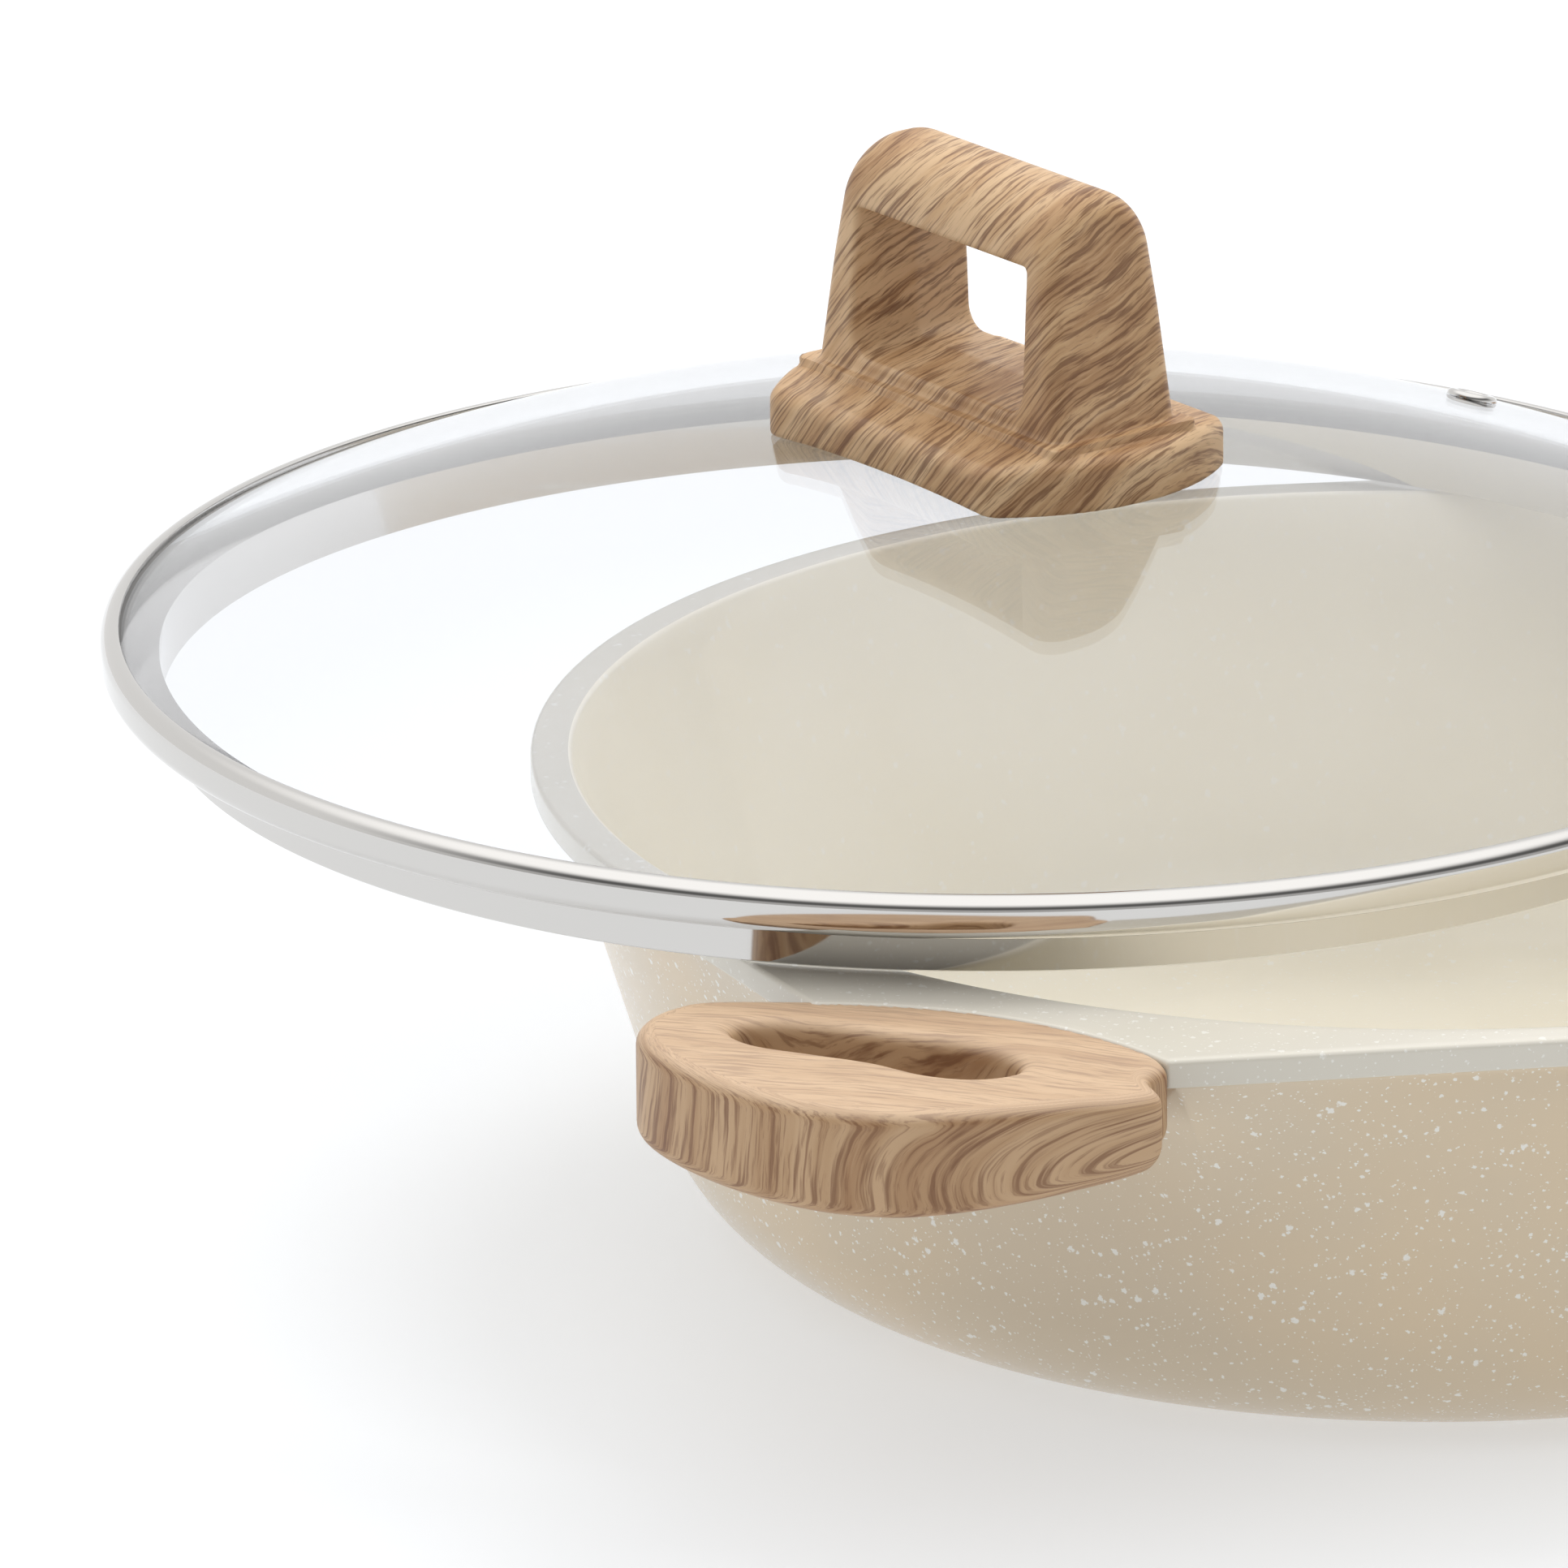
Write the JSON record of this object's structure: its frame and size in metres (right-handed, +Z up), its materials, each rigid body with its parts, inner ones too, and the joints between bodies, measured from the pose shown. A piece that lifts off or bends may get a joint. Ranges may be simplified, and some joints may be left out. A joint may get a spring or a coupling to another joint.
{
  "type": "two-handled pan with glass lid",
  "caption": "Round deep pan with flat rim, two wood-look side handles and a domed glass lid with a steel band and loop knob, set aside on the rim.",
  "frame": {"origin": "centre of the flat underside of the pan's base", "axes": "+Z up along the pan's axis; the side handles lie along X, with the near handle towards -X; the lid is set aside towards +Y"},
  "size_m": [0.417, 0.3766, 0.1761],
  "materials": {
    "speckled_coating": "cast aluminium with a glossy cream and greige coating, finely speckled",
    "disc_steel": "brushed, perforated",
    "wood_look": "soft-touch moulding printed with pale oak grain",
    "fastener_steel": "plain stainless",
    "lid_glass": "clear tempered glass",
    "band_steel": "polished stainless strip",
    "insert_brass": "plain",
    "seal_rubber": "silicone"
  },
  "bodies": {
    "pan": {"pan_body": "speckled_coating", "induction_disc": "disc_steel", "near_handle": "wood_look", "near_handle_screws": "fastener_steel", "near_handle_washers": "fastener_steel", "far_handle": "wood_look", "far_handle_screws": "fastener_steel", "far_handle_washers": "fastener_steel"},
    "lid": {"lid_glass": "lid_glass", "lid_band": "band_steel", "vent_eyelet": "fastener_steel", "vent_washer": "fastener_steel", "lid_knob": "wood_look", "knob_insert": "insert_brass", "knob_gasket": "seal_rubber", "knob_seal": "seal_rubber", "knob_washer": "fastener_steel", "knob_screw": "fastener_steel"}
  },
  "joints": [
    {"name": "lid_lift", "type": "slide", "parent": "pan", "child": "lid", "axis": [0, 0, 1], "range_m": [0, 0.15]}
  ]
}
